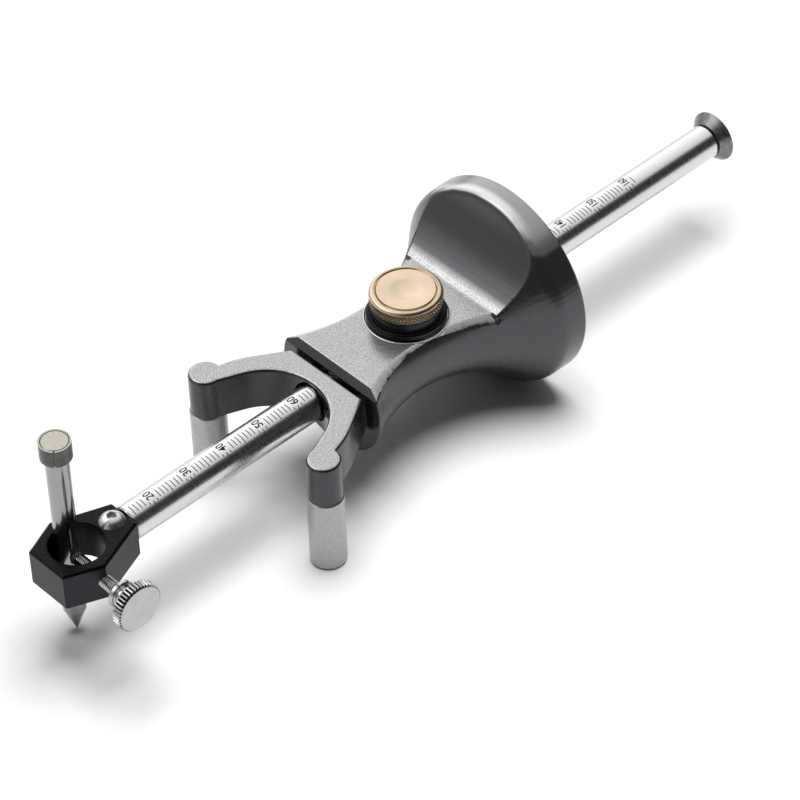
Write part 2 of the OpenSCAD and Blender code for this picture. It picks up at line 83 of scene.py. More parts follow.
# edges left sharp: those of the bores, near the rod's axis, and the lower ones of the side bevels
BORE_REACH = 0.0065
BORES_X = (-0.0195, 0.0325)
BEVEL_FOOT_OUT = 0.0078
BEVEL_FOOT_X = (-0.0172, 0.0152)
BEVEL_FOOT_Z = (0.0265, 0.0308)
# the hollow wall is part of a cylinder across the tool, its axis at this place and height; its lip is
# rounded, more and more from the flat up to the top
WALL_AXIS = Vector((-0.000308, 0, 0.054113))
WALL_R = 0.028
WALL_FOOT_X = 0.0154
LIP_WITHIN = 0.00002
LIP_FROM = 0.0335
LIP_TO = 0.0314
LIP_FULL = 0.0430
LIP_R_LOW = 0.0003
LIP_R = 0.0020
LIP_STEPS = 48
LIP_ARC = 9
LIP_EDGE_DEG = 8
# the shading is creased at the lip's two ends, this far out and between these heights
LIP_ENDS_OUT = 0.0138
LIP_ENDS_Z = (0.0320, 0.0358)
# the rim's direction is read this far behind the lip and this far out
PROBE_BACK = 0.0008
PROBE_OUT = 0.0004
# how far the cutter goes on past its arc and how far out it closes, in radii of the arc
CUTTER_PAST = 0.5
CUTTER_OUT = 2
CUTTER_WELD = 1e-8
TINY = 1e-9
# by the distance from the wall's axis, how much painted highlight beside the rounding shows on the rim,
# and by the sideways share of a face's direction, where it fades on the near side
LIP_HIGHLIGHT = ((0.06, 0), (0.26, 1), (0.44, 1), (0.80, 0))
LIP_HIGHLIGHT_TO = 0.0315
LIP_HIGHLIGHT_MOST = 0.9
LIP_NEAR_SIDE = (-0.52, -0.2)
LIP_HIGHLIGHT_COLOUR = (0.60, 0.61, 0.61, 1)


def only_select(piece):
    bpy.ops.object.select_all(action="DESELECT")
    piece.select_set(True)
    bpy.context.view_layer.objects.active = piece


def middle_of(piece, edge):
    first, second = (piece.data.vertices[i].co for i in edge.vertices)
    return (first + second) / 2


def eased_copy(node, name, width, sharp_deg, left_sharp=lambda middle: False):
    """A copy of a solid with a small rounding along its edges sharper than sharp_deg."""
    piece = bpy.data.objects.new(name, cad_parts[node].data.copy())
    bpy.context.scene.collection.objects.link(piece)
    only_select(piece)
    bpy.ops.object.mode_set(mode="EDIT")
    bpy.ops.mesh.select_mode(type="EDGE")
    bpy.ops.mesh.select_all(action="SELECT")
    bpy.ops.mesh.remove_doubles(threshold=SOLID_WELD)
    bpy.ops.mesh.customdata_custom_splitnormals_clear()
    bpy.ops.mesh.dissolve_limited(angle_limit=math.radians(FLAT_ANGLE))
    bpy.ops.mesh.select_all(action="DESELECT")
    bpy.ops.mesh.edges_select_sharp(sharpness=math.radians(sharp_deg))
    bpy.ops.object.mode_set(mode="OBJECT")
    for edge in piece.data.edges:
        if edge.select and left_sharp(middle_of(piece, edge)):
            edge.select = False
    bpy.ops.object.mode_set(mode="EDIT")
    bpy.ops.mesh.bevel(offset=width, segments=EDGE_STEPS, affect="EDGES", clamp_overlap=False)
    bpy.ops.mesh.select_mode(type="VERT")
    bpy.ops.object.mode_set(mode="OBJECT")
    shade(piece)
    return piece


def shade(piece, creased=lambda middle: False):
    """Smooth over the roundings, and flat on the large faces beside them."""
    only_select(piece)
    bpy.ops.object.shade_smooth_by_angle(angle=math.radians(SMOOTH_ANGLE))
    for edge in piece.data.edges:
        if creased(middle_of(piece, edge)):
            edge.use_edge_sharp = True
    flat = piece.modifiers.new("flat", "WEIGHTED_NORMAL")
    flat.weight = FLAT_WEIGHT
    flat.keep_sharp = True
    bpy.ops.object.modifier_apply(modifier="flat")


def finish_named(name):
    """A new material with its shader, and the coordinates its patterns are laid out on."""
    finish = bpy.data.materials.new(name)
    finish.use_nodes = True
    tree = finish.node_tree
    shader = tree.nodes["Principled BSDF"]
    place = tree.nodes.new("ShaderNodeTexCoord").outputs["Object"]
    return finish, tree, shader, place


def mapped(tree, place, move=(0, 0, 0), stretch=(1, 1, 1)):
    """The coordinates stretched, and then moved."""
    node = tree.nodes.new("ShaderNodeMapping")
    node.inputs["Location"].default_value = move
    node.inputs["Scale"].default_value = stretch
    tree.links.new(place, node.inputs["Vector"])
    return node.outputs["Vector"]


def grain(tree, place, size, detail=2.0, rough=0.5):
    """Cloudy grain over the surface, its size in grains to the metre."""
    node = tree.nodes.new("ShaderNodeTexNoise")
    node.inputs["Scale"].default_value = size
    node.inputs["Detail"].default_value = detail
    node.inputs["Roughness"].default_value = rough
    tree.links.new(place, node.inputs["Vector"])
    return node.outputs["Fac"]


def spread(tree, value, low, high, out_low, out_high):
    """Maps a pattern's values from low to high onto a range of the shader's."""
    node = tree.nodes.new("ShaderNodeMapRange")
    node.inputs["From Min"].default_value = low
    node.inputs["From Max"].default_value = high
    node.inputs["To Min"].default_value = out_low
    node.inputs["To Max"].default_value = out_high
    tree.links.new(value, node.inputs["Value"])
    return node.outputs["Result"]


def tint(tree, value, colours):
    """Colours laid along a pattern's values, as (position, colour) pairs."""
    node = tree.nodes.new("ShaderNodeValToRGB")
    ramp = node.color_ramp
    while len(ramp.elements) < len(colours):
        ramp.elements.new(0.5)
    for stop, (position, colour) in zip(ramp.elements, colours):
        stop.position = position
        stop.color = colour
    tree.links.new(value, node.inputs["Fac"])
    return node.outputs["Color"]


def mottled(tree, pattern, dark, light, span=GRAIN_SPAN):
    """Two colours over the span of a grain's values."""
    return tint(tree, pattern, list(zip(span, (dark, light))))


def shares(tree, value, stops):
    """A share laid along a pattern's values, as (position, share) pairs."""
    return tint(tree, value, [(position, (share, share, share, 1)) for position, share in stops])


def raise_grain(tree, shader, value, height, strength):
    """Turns a pattern into a small relief on the surface."""
    node = tree.nodes.new("ShaderNodeBump")
    node.inputs["Strength"].default_value = strength
    node.inputs["Distance"].default_value = height
    tree.links.new(value, node.inputs["Height"])
    tree.links.new(node.outputs["Normal"], shader.inputs["Normal"])


def blend(tree, share, first, second):
    """One colour laid over another, by a pattern's share of the second."""
    node = tree.nodes.new("ShaderNodeMixRGB")
    tree.links.new(share, node.inputs["Fac"])
    for colour, socket in ((first, node.inputs["Color1"]), (second, node.inputs["Color2"])):
        if isinstance(colour, tuple):
            socket.default_value = colour
        else:
            tree.links.new(colour, socket)
    return node.outputs["Color"]


def combine(tree, operation, first, second=None):
    """One pattern's values, or two patterns', put through a sum."""
    node = tree.nodes.new("ShaderNodeMath")
    node.operation = operation
    tree.links.new(first, node.inputs[0])
    if second is not None:
        tree.links.new(second, node.inputs[1])
    return node.outputs["Value"]


def parts_of(tree, vector):
    """The three parts of a place or a direction."""
    node = tree.nodes.new("ShaderNodeSeparateXYZ")
    tree.links.new(vector, node.inputs[0])
    return node.outputs


def facing(tree, place):
    """The three parts of the direction that a face looks in."""
    return parts_of(tree, place.node.outputs["Normal"])


def away_from_axis(tree, place, through, along):
    """How far each point lies from an axis along Y or Z that passes through a point."""
    across = {"Y": (1, 0, 1), "Z": (1, 1, 0)}[along]
    move = [-part * share for part, share in zip(through, across)]
    node = tree.nodes.new("ShaderNodeVectorMath")
    node.operation = "LENGTH"
    tree.links.new(mapped(tree, place, move, across), node.inputs[0])
    return node.outputs["Value"]


def casting_finish(name, dark, edge_part, highlight_slopes):
    """Gunmetal, flecked where a face looks up, with painted light there and a painted highlight on some
    slopes.
    """
    finish, tree, shader, place = finish_named(name)
    flecks = grain(tree, place, CAST_GRAINS, detail=1.0)
    patches = grain(tree, place, CAST_PATCHES, detail=2.0, rough=0.6)
    looks = facing(tree, place)
    height = parts_of(tree, place)["Z"]
    # painted highlight on some slopes
    edge_highlight = shares(tree, combine(tree, "ABSOLUTE", looks[edge_part]), highlight_slopes)
    painted_lit_flecks = mottled(tree, flecks, PAINTED_LIT_FLECK_DARK, PAINTED_LIT_FLECK_LIGHT, FLECK_SPAN)
    painted_lit_flecks = blend(tree, edge_highlight, painted_lit_flecks, EDGE_PAINTED_HIGHLIGHT)
    low = spread(tree, height, FLECKS_TO + FLECKS_FADE, FLECKS_TO, 0, 1)
    colour = blend(tree, low, GUNMETAL_PAINTED_LIGHT, painted_lit_flecks)
    # painted light: lighter where a face looks up, a little sooner round the rim
    sooner = spread(tree, height, RIM_FROM, RIM_FROM + RIM_FADE, 0, RIM_PAINTED_LIGHT_SOONER)
    upward = combine(tree, "ADD", looks["Z"], sooner)
    colour = blend(tree, spread(tree, upward, PAINTED_LIGHT_FROM, PAINTED_LIGHT_FULL, 0, 1), dark, colour)
    tree.links.new(colour, shader.inputs["Base Color"])
    shader.inputs["Metallic"].default_value = CAST_METAL
    tree.links.new(spread(tree, patches, *GRAIN_SPAN, *CAST_ROUGH), shader.inputs["Roughness"])
    raise_grain(tree, shader, flecks, height=0.00002, strength=0.2)
    return finish, tree, shader, place


def dress(piece, finish):
    piece.data.materials.clear()
    piece.data.materials.append(finish)


def between(value, limits):
    return limits[0] < value < limits[1]


def on_lip(middle):
    return middle.z > LIP_FROM and middle.x < LIP_TO


def at_lip_ends(middle):
    return abs(middle.y) > LIP_ENDS_OUT and between(middle.z, LIP_ENDS_Z)


def in_bores(middle):
    return math.hypot(middle.y, middle.z - rod_z) < BORE_REACH and between(middle.x, BORES_X)


def under_bevel(middle):
    within = between(middle.x, BEVEL_FOOT_X) and between(middle.z, BEVEL_FOOT_Z)
    return within and abs(middle.y) > BEVEL_FOOT_OUT


def from_wall_axis(at):
    return Vector((at.x - WALL_AXIS.x, 0, at.z - WALL_AXIS.z))


def lip_path(piece):
    """Points evenly spaced along the lip's edge, from end to end."""
    lip = [v.co.copy() for v in piece.data.vertices
           if on_lip(v.co) and v.co.x > WALL_FOOT_X
           and abs(from_wall_axis(v.co).length - WALL_R) < LIP_WITHIN]
    lip.sort(key=lambda co: math.atan2(co.y, co.z - LIP_FROM))
    lengths = [0.0]
    for before, after in zip(lip, lip[1:]):
        lengths.append(lengths[-1] + (after - before).length)
    path = []
    for step in range(LIP_STEPS + 1):
        goal = lengths[-1] * step / LIP_STEPS
        after = next(i for i in range(1, len(lip)) if lengths[i] >= goal - TINY)
        share = (goal - lengths[after - 1]) / max(TINY, lengths[after] - lengths[after - 1])
        path.append(lip[after - 1].lerp(lip[after], share))
    return path


def lip_section(piece, at, along):
    """The cutter's outline at one place: an arc from the wall to the rim, closed outside the stock."""
    wall_out = -from_wall_axis(at).normalized()
    from_rod = Vector((0, at.y, at.z - rod_z)).normalized()
    rim_out = piece.closest_point_on_mesh(at - wall_out * PROBE_BACK + from_rod * PROBE_OUT)[2]
    down_wall = along.cross(wall_out).normalized()
    down_wall *= -1 if down_wall.dot(rim_out) > 0 else 1
    over_rim = along.cross(rim_out).normalized()
    over_rim *= -1 if over_rim.dot(wall_out) > 0 else 1
    half = down_wall.angle(over_rim) / 2
    rise = min(1, max(0, (at.z - LIP_FROM) / (LIP_FULL - LIP_FROM)))
    size = LIP_R_LOW + (LIP_R - LIP_R_LOW) * rise
    inwards = (down_wall + over_rim).normalized()
    sideways = (over_rim - down_wall).normalized()
    centre = at + inwards * size / math.sin(half)
    reach = math.pi / 2 - half - math.radians(LIP_EDGE_DEG)
    turns = [reach * (2 * j / LIP_ARC - 1) for j in range(LIP_ARC + 1)]
    arc = [centre + size * (sideways * math.sin(t) - inwards * math.cos(t)) for t in turns]
    past = CUTTER_PAST * size
    first = arc[0] - past * (sideways * math.cos(reach) - inwards * math.sin(reach))
    last = arc[-1] + past * (sideways * math.cos(reach) + inwards * math.sin(reach))
    return [first] + arc + [last, at - inwards * CUTTER_OUT * size]


def round_lip(piece):
    """Cuts the rounding along the lip with a cutter that is swept along it."""
    path = lip_path(piece)
    sections = []
    for i, at in enumerate(path):
        along = (path[min(i + 1, LIP_STEPS)] - path[max(i - 1, 0)]).normalized()
        sections.append(lip_section(piece, at, along))
    around = len(sections[0])
    bpy.ops.object.select_all(action="DESELECT")
    bpy.ops.mesh.primitive_grid_add(x_subdivisions=LIP_STEPS, y_subdivisions=around, size=LIP_R,
                                    location=(0, 0, 0))
    cutter = bpy.context.active_object
    for v in cutter.data.vertices:
        row, step = divmod(v.index, LIP_STEPS + 1)
        v.co = sections[step][row % around]
    bpy.ops.object.mode_set(mode="EDIT")
    bpy.ops.mesh.select_all(action="SELECT")
    bpy.ops.mesh.remove_doubles(threshold=CUTTER_WELD)
    bpy.ops.mesh.fill_holes(sides=0)
    bpy.ops.mesh.select_all(action="SELECT")
    bpy.ops.mesh.normals_make_consistent(inside=False)
    bpy.ops.object.mode_set(mode="OBJECT")
    only_select(piece)
    rounded = piece.modifiers.new("rounded", "BOOLEAN")
    rounded.operation = "DIFFERENCE"
    rounded.solver = "EXACT"
    rounded.object = cutter
    bpy.ops.object.modifier_apply(modifier="rounded")
    bpy.data.objects.remove(cutter)
    shade(piece, at_lip_ends)


rod_low, rod_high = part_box("guide_rod")
rod_z = (rod_low.z + rod_high.z) / 2
stock = eased_copy("stock_body", "stock_casting", STOCK_EDGE, CAST_EDGE_ANGLE,
                   lambda middle: on_lip(middle) or under_bevel(middle) or in_bores(middle))
round_lip(stock)
stock_finish, tree, shader, place = casting_finish("stock_gunmetal_painted_light", GUNMETAL, "Y", STOCK_BEVEL_HIGHLIGHT)
# painted highlight on the rim beside the rounded lip
from_wall = spread(tree, away_from_axis(tree, place, WALL_AXIS, "Y"), WALL_R, LIP_HIGHLIGHT_TO, 0, 1)
far_side = spread(tree, facing(tree, place)["Y"], *LIP_NEAR_SIDE, 0, LIP_HIGHLIGHT_MOST)
above = spread(tree, parts_of(tree, place)["Z"], RIM_FROM, RIM_FROM + RIM_FADE, 0, 1)
lip_highlight = combine(tree, "MULTIPLY", shares(tree, from_wall, LIP_HIGHLIGHT), far_side)
lip_highlight = combine(tree, "MULTIPLY", lip_highlight, above)
cast_colour = shader.inputs["Base Color"].links[0].from_socket
tree.links.new(blend(tree, lip_highlight, cast_colour, LIP_HIGHLIGHT_COLOUR), shader.inputs["Base Color"])
dress(stock, stock_finish)
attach(stock, "stock")
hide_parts("stock_body")


# Seat edge: the raised edge of the lock bush's seat, a thin ring of bright bare metal that was left
# standing round the bush where the seat was cut in the flat.
SEAT_EDGE = 0.00017
SEAT_AROUND = 0.0005
FLAT_Z = 0.0309
SEAT_GRAINS = 1600
SEAT_STEEL = (0.62, 0.62, 0.62, 1)
SEAT_STEEL_LIGHT = (0.72, 0.72, 0.72, 1)


def coat(tree, shader, pattern, colours, metallic, roughness, rough_pattern=None):
    """Gives a finish two colours and a range of roughness that follow a pattern, or two patterns."""
    tree.links.new(mottled(tree, pattern, *colours), shader.inputs["Base Color"])
    shader.inputs["Metallic"].default_value = metallic
    rough = spread(tree, rough_pattern or pattern, *GRAIN_SPAN, *roughness)
    tree.links.new(rough, shader.inputs["Roughness"])


lock_low, lock_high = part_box("lock_bush")
bpy.ops.object.select_all(action="DESELECT")
bpy.ops.mesh.primitive_torus_add(location=((lock_low.x + lock_high.x) / 2, 0, FLAT_Z),
                                 major_radius=(lock_high.x - lock_low.x) / 2 + SEAT_AROUND,
                                 minor_radius=SEAT_EDGE, major_segments=120, minor_segments=12)
seat = bpy.context.active_object
seat.name = seat.data.name = "seat_edge"
bpy.ops.object.transform_apply(location=True, rotation=True, scale=True)
bpy.ops.object.shade_smooth()
seat_finish, tree, shader, place = finish_named("seat_bare_metal")
coat(tree, shader, grain(tree, place, SEAT_GRAINS, detail=3.0, rough=0.6),
     (SEAT_STEEL, SEAT_STEEL_LIGHT), metallic=1.0, roughness=(0.24, 0.34))
dress(seat, seat_finish)
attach(seat, "stock")


# Fork: a casting of the same finish and painted light, fixed to the stock's front by two spigots, with
# the rod passing through its crotch. Its top edges are rounded, with a faint painted highlight along them.
FORK_EDGE = 0.0009
FORK_TOP_WITHIN = 0.0001
FORK_GUNMETAL = (0.064, 0.067, 0.071, 1)
# by the upward share of a face's direction, how much of the painted highlight shows on the rounding
FORK_EDGE_HIGHLIGHT = ((0.80, 0), (0.84, 0.15), (0.96, 0.15), (0.99, 0))

fork_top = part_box("fork")[1].z
fork = eased_copy("fork", "fork_casting", FORK_EDGE, CAST_EDGE_ANGLE,
                  lambda middle: middle.z < fork_top - FORK_TOP_WITHIN)
dress(fork, casting_finish("fork_gunmetal_painted_light", FORK_GUNMETAL, "Z", FORK_EDGE_HIGHLIGHT)[0])
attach(fork, "stock")
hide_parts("fork")


# Fork screws: two blackened steel set screws, driven up from below against the fork's spigots.
# Only their lower ends show, in the stock's underside.
DARK_STEEL = (0.15, 0.155, 0.16, 1)
DARK_STEEL_WORN = (0.26, 0.265, 0.27, 1)
WEAR_GRAINS = 900
WEAR_SPAN = (0.35, 0.75)
STEEL_GRAINS = 4000


def dark_steel_finish(name, roughness, dark=DARK_STEEL, worn=DARK_STEEL_WORN):
    finish, tree, shader, place = finish_named(name)
    wear = grain(tree, place, WEAR_GRAINS, detail=3.0, rough=0.6)
    tree.links.new(mottled(tree, wear, dark, worn, WEAR_SPAN), shader.inputs["Base Color"])
    shader.inputs["Metallic"].default_value = 0.9
    rough = spread(tree, wear, *GRAIN_SPAN, roughness - 0.05, roughness + 0.07)
    tree.links.new(rough, shader.inputs["Roughness"])
    raise_grain(tree, shader, grain(tree, place, STEEL_GRAINS, detail=1.0), height=0.00002, strength=0.2)
    return finish, tree, shader, place


dress(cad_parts["fork_screws"], dark_steel_finish("set_screw_black", roughness=0.4)[0])


# Legs: two plain steel pins screwed up into the fork's tips. They are bead blasted, which leaves a
# light satin grey with a very fine even grain.
LEG_STEEL = (0.325, 0.325, 0.33, 1)
LEG_STEEL_LIGHT = (0.445, 0.445, 0.445, 1)
BLAST_GRAINS = 2200
LEG_PATCHES = 400

leg_finish, tree, shader, place = finish_named("leg_blasted")
blast = grain(tree, place, BLAST_GRAINS, detail=4.0, rough=0.6)
coat(tree, shader, blast, (LEG_STEEL, LEG_STEEL_LIGHT), metallic=0.9, roughness=(0.30, 0.38),
     rough_pattern=grain(tree, place, LEG_PATCHES))
raise_grain(tree, shader, blast, height=0.00002, strength=0.2)
for node in ("leg_left", "leg_right"):
    dress(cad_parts[node], leg_finish)


# Guide bushes: two bronze sleeves pressed into the stock, one behind the front face and one in the
# fence, in which the rod slides.
BRONZE = (0.14, 0.105, 0.07, 1)
BRONZE_LIGHT = (0.23, 0.18, 0.12, 1)
BRONZE_GRAINS = 1400


def bronze_finish(name):
    finish, tree, shader, place = finish_named(name)
    coat(tree, shader, grain(tree, place, BRONZE_GRAINS, detail=3.0, rough=0.6),
         (BRONZE, BRONZE_LIGHT), metallic=1.0, roughness=(0.28, 0.4))
    return finish


bush_finish = bronze_finish("bush_bronze")
for node in ("bush_front", "bush_rear"):
    dress(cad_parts[node], bush_finish)


# Guide rod: a ground stainless bar that slides through the stock. It is polished to a satin, with
# faint grinding lines that run round it.
ROD_STEEL = (0.64, 0.642, 0.645, 1)
ROD_STEEL_LIGHT = (0.70, 0.70, 0.70, 1)
ROD_LINES = (7000, 400, 400)

rod_finish, tree, shader, place = finish_named("rod_satin_steel")
ground = grain(tree, mapped(tree, place, stretch=ROD_LINES), 1.0)
coat(tree, shader, ground, (ROD_STEEL, ROD_STEEL_LIGHT), metallic=1.0, roughness=(0.22, 0.30))
raise_grain(tree, shader, ground, height=0.000006, strength=0.05)
dress(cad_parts["guide_rod"], rod_finish)


# Scale: etched into the rod and filled with black, one division to the millimetre. The numbers, one
# to every ten divisions, read round the rod and stand above three short divisions.
SCALE_NOUGHT = -0.09105
SCALE_FIRST = 14.5
SCALE_LAST = 162.5
DIVISION = 0.001
PER_DECADE = 10
DECADES = 16
LINE_WIDTH = 0.00018
INK_PROUD = 0.00001
INK_DEPTH = 0.00003
# where each kind of line starts and ends, in degrees round the rod from its top, downwards in front
SHORT_LINE = (-4, 26)
HALF_LINE = (-6, 33)
TEN_LINE = (24.4, 38.8)
NEXT_LINE = (23, 32)
FIRST_NUMBER = 20
LAST_NUMBER = 160
NUMBER_HEIGHT = 0.00195
NUMBER_BOLD = 0.014
# where a number of two or three digits starts and ends round the rod
NUMBER_SPANS = {2: (-15, 16.7), 3: (-19, 14)}
WRAP_STEP = 0.00022
MESH_WELD = 1e-7
INK_BLACK = (0.005, 0.005, 0.005, 1)
INK_WORN = (0.02, 0.02, 0.02, 1)
INK_GRAINS = 2500
INK_SPAN = (0.45, 0.85)
INK_ROUGH = (0.5, 0.65)

# the lines of one decade lie flat at first, and are repeated along the rod
rod_r = max(rod_high.y - rod_low.y, rod_high.z - rod_low.z) / 2
bpy.ops.object.select_all(action="DESELECT")
bpy.ops.mesh.primitive_plane_add(size=1, location=(0, 0, 0))
scale = bpy.context.active_object
scale.name = scale.data.name = "rod_scale"
bpy.ops.object.mode_set(mode="EDIT")
bpy.ops.mesh.delete(type="VERT")
for step in range(PER_DECADE):
    start, end = {0: TEN_LINE, 1: NEXT_LINE, 9: NEXT_LINE, 5: HALF_LINE}.get(step, SHORT_LINE)
    length = math.radians(end - start) * rod_r
    middle = -math.radians(end + start) / 2 * rod_r
    line_x = SCALE_NOUGHT + (PER_DECADE + step) * DIVISION
    bpy.ops.mesh.primitive_plane_add(size=1, location=(line_x, middle, 0))
    bpy.ops.transform.resize(value=(LINE_WIDTH, length, 1), center_override=(line_x, middle, 0))
bpy.ops.object.mode_set(mode="OBJECT")
decades = scale.modifiers.new("decades", "ARRAY")
decades.count = DECADES
decades.use_relative_offset = False
decades.use_constant_offset = True
decades.constant_offset_displace = (PER_DECADE * DIVISION, 0, 0)
bpy.ops.object.modifier_apply(modifier="decades")
bpy.ops.object.mode_set(mode="EDIT")
for limit, side in ((SCALE_FIRST, -1), (SCALE_LAST, 1)):
    bpy.ops.mesh.select_all(action="SELECT")
    bpy.ops.mesh.bisect(plane_co=(SCALE_NOUGHT + limit * DIVISION, 0, 0), plane_no=(side, 0, 0),
                        clear_outer=True)
bpy.ops.object.mode_set(mode="OBJECT")

numerals = []
for number in range(FIRST_NUMBER, LAST_NUMBER + 1, PER_DECADE):
    bpy.ops.object.select_all(action="DESELECT")
    bpy.ops.object.text_add(location=(0, 0, 0))
    numeral = bpy.context.active_object
    numeral.data.body = str(number)
    numeral.data.offset = NUMBER_BOLD
    bpy.ops.object.convert(target="MESH")
    numeral = bpy.context.active_object
    corners = [v.co for v in numeral.data.vertices]
    left, right = min(c.x for c in corners), max(c.x for c in corners)
    foot, top = min(c.y for c in corners), max(c.y for c in corners)
    start, end = NUMBER_SPANS[len(str(number))]
    first_y, last_y = (-math.radians(angle) * rod_r for angle in (end, start))
    number_x = SCALE_NOUGHT + number * DIVISION
    for v in numeral.data.vertices:
        along = (v.co.x - left) / (right - left)
        up = (v.co.y - foot) / (top - foot) - 0.5
        v.co = (number_x - up * NUMBER_HEIGHT, first_y + along * (last_y - first_y), 0)
    numerals.append(numeral)
bpy.ops.object.select_all(action="DESELECT")
for numeral in numerals:
    numeral.select_set(True)
scale.select_set(True)
bpy.context.view_layer.objects.active = scale
bpy.ops.object.join()

# cut across in narrow strips, given its depth and wrapped round the rod
bpy.ops.object.mode_set(mode="EDIT")
reach = max(abs(v.co.y) for v in scale.data.vertices)
cut = -reach
while cut < reach:
    bpy.ops.mesh.select_all(action="SELECT")
    bpy.ops.mesh.bisect(plane_co=(0, cut, 0), plane_no=(0, 1, 0))
    cut += WRAP_STEP
bpy.ops.mesh.select_all(action="SELECT")
bpy.ops.mesh.remove_doubles(threshold=MESH_WELD)
bpy.ops.mesh.normals_make_consistent(inside=False)
bpy.ops.object.mode_set(mode="OBJECT")
only_select(scale)
ink = scale.modifiers.new("ink", "SOLIDIFY")
ink.thickness = INK_DEPTH
ink.offset = 0
bpy.ops.object.modifier_apply(modifier="ink")
for v in scale.data.vertices:
    turn = v.co.y / rod_r
    out = rod_r + INK_PROUD - INK_DEPTH / 2 + v.co.z
    v.co = (v.co.x, out * math.sin(turn), rod_z + out * math.cos(turn))
bpy.ops.object.mode_set(mode="EDIT")
bpy.ops.mesh.select_all(action="SELECT")
bpy.ops.mesh.normals_make_consistent(inside=False)
bpy.ops.object.mode_set(mode="OBJECT")

ink_finish, tree, shader, place = finish_named("scale_ink")
worn = grain(tree, place, INK_GRAINS, detail=3.0, rough=0.6)
tree.links.new(mottled(tree, worn, INK_BLACK, INK_WORN, INK_SPAN), shader.inputs["Base Color"])
tree.links.new(spread(tree, worn, *GRAIN_SPAN, *INK_ROUGH), shader.inputs["Roughness"])
shader.inputs["Specular IOR Level"].default_value = 0.1
dress(scale, ink_finish)
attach(scale, "rod")


# Lock bush: a flanged collar of black anodised aluminium, screwed into the stock's flat over the rod
# and carrying the lock screw.
PAINTED_SHADE_BLACK = (0.006, 0.006, 0.007, 1)
PAINTED_SHADE_BLACK_SPECK = (0.022, 0.022, 0.024, 1)
PAINTED_LIGHT_BLACK = (0.026, 0.028, 0.032, 1)
PAINTED_LIGHT_BLACK_SPECK = (0.044, 0.046, 0.051, 1)
BLACK_GRAINS = 3000
BLACK_SPAN = (0.35, 0.75)
BLACK_ROUGH = (0.30, 0.44)
# by the upward share of a face's direction, where the painted light of a side turns into the painted shade
# of a top
BLACK_TURNS = (0.2, 0.6)
LOCK_BUSH_EDGE = 0.00015
LOCK_BUSH_EDGE_ANGLE = 40


# Black anodised finish, with painted shade on its tops and painted light on its sides.
def anodised_finish(name):
    finish, tree, shader, place = finish_named(name)
    specks = grain(tree, place, BLACK_GRAINS, detail=2.0, rough=0.6)
    top = mottled(tree, specks, PAINTED_SHADE_BLACK, PAINTED_SHADE_BLACK_SPECK, BLACK_SPAN)
    side = mottled(tree, specks, PAINTED_LIGHT_BLACK, PAINTED_LIGHT_BLACK_SPECK, BLACK_SPAN)
    upward = spread(tree, facing(tree, place)["Z"], *BLACK_TURNS, 0, 1)
    tree.links.new(blend(tree, upward, side, top), shader.inputs["Base Color"])
    shader.inputs["Metallic"].default_value = 0.9
    shader.inputs["Specular IOR Level"].default_value = 0.1
    tree.links.new(spread(tree, specks, *GRAIN_SPAN, *BLACK_ROUGH), shader.inputs["Roughness"])
    raise_grain(tree, shader, specks, height=0.00003, strength=0.3)
    return finish, tree, shader, place


lock_bush = eased_copy("lock_bush", "lock_bush_turned", LOCK_BUSH_EDGE, LOCK_BUSH_EDGE_ANGLE)
dress(lock_bush, anodised_finish("lock_bush_black")[0])
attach(lock_bush, "stock")
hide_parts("lock_bush")


# Lock pad and stud: a bronze pad that presses on the rod, and the steel stud that drives it down.
# Both sit inside the lock bush.
BRIGHT_STEEL = (0.56, 0.56, 0.57, 1)
BRIGHT_STEEL_LIGHT = (0.72, 0.72, 0.73, 1)
BRIGHT_GRAINS = 1800


def bright_steel_finish(name, roughness):
    finish, tree, shader, place = finish_named(name)
    coat(tree, shader, grain(tree, place, BRIGHT_GRAINS, detail=3.0, rough=0.6),
         (BRIGHT_STEEL, BRIGHT_STEEL_LIGHT), metallic=1.0,
         roughness=(roughness - 0.04, roughness + 0.05))
    return finish


dress(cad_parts["lock_pad"], bronze_finish("lock_pad_bronze"))
dress(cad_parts["lock_stud"], bright_steel_finish("lock_stud_steel", roughness=0.25))


# Lock knob: a low brass knob turned from bar, with a diamond knurl rolled into its side, a ring groove
# and a dished top. It is fixed on the stud and turns with it.
KNOB_ROUND = 0.0010
KNOB_FOOT = 0.0003
KNOB_GROOVE = 0.0068
KNOB_GROOVE_HALF = 0.00042
KNOB_GROOVE_DEEP = 0.0006
KNOB_DISH = 0.0038
KNOB_DISH_DEEP = 0.0008
# the dish's rings, as shares of its radius, and how steeply it falls from its edge
DISH_RINGS = (1, 0.9, 0.8, 0.65, 0.5, 0.3, 0.15, 0)
DISH_FALL = 1.3
KNURL_RINGS = 16
KNURL_ROWS = 62
ROW_STEPS = 6
KNURL_DEEP = 0.00042
KNURL_FLANK = 1.5
KNURL_SMOOTH_ANGLE = 28
ON_SIDE = 1e-6
# painted shade darkens the knurl's grooves between these depths, up to the top of the side
KNURL_SHADE_FROM = 0.00008
KNURL_SHADE_FULL = 0.00032
KNURL_SHADE_FADE = 0.0001
BRASS = (0.58, 0.465, 0.335, 1)
BRASS_LIGHT = (0.64, 0.52, 0.385, 1)
BRASS_GROOVE_SHADE = (0.15, 0.105, 0.06, 1)
BRASS_PATCHES = 300
BRASS_ROUGH = (0.28, 0.34)
KNOB_TURNING = 2600


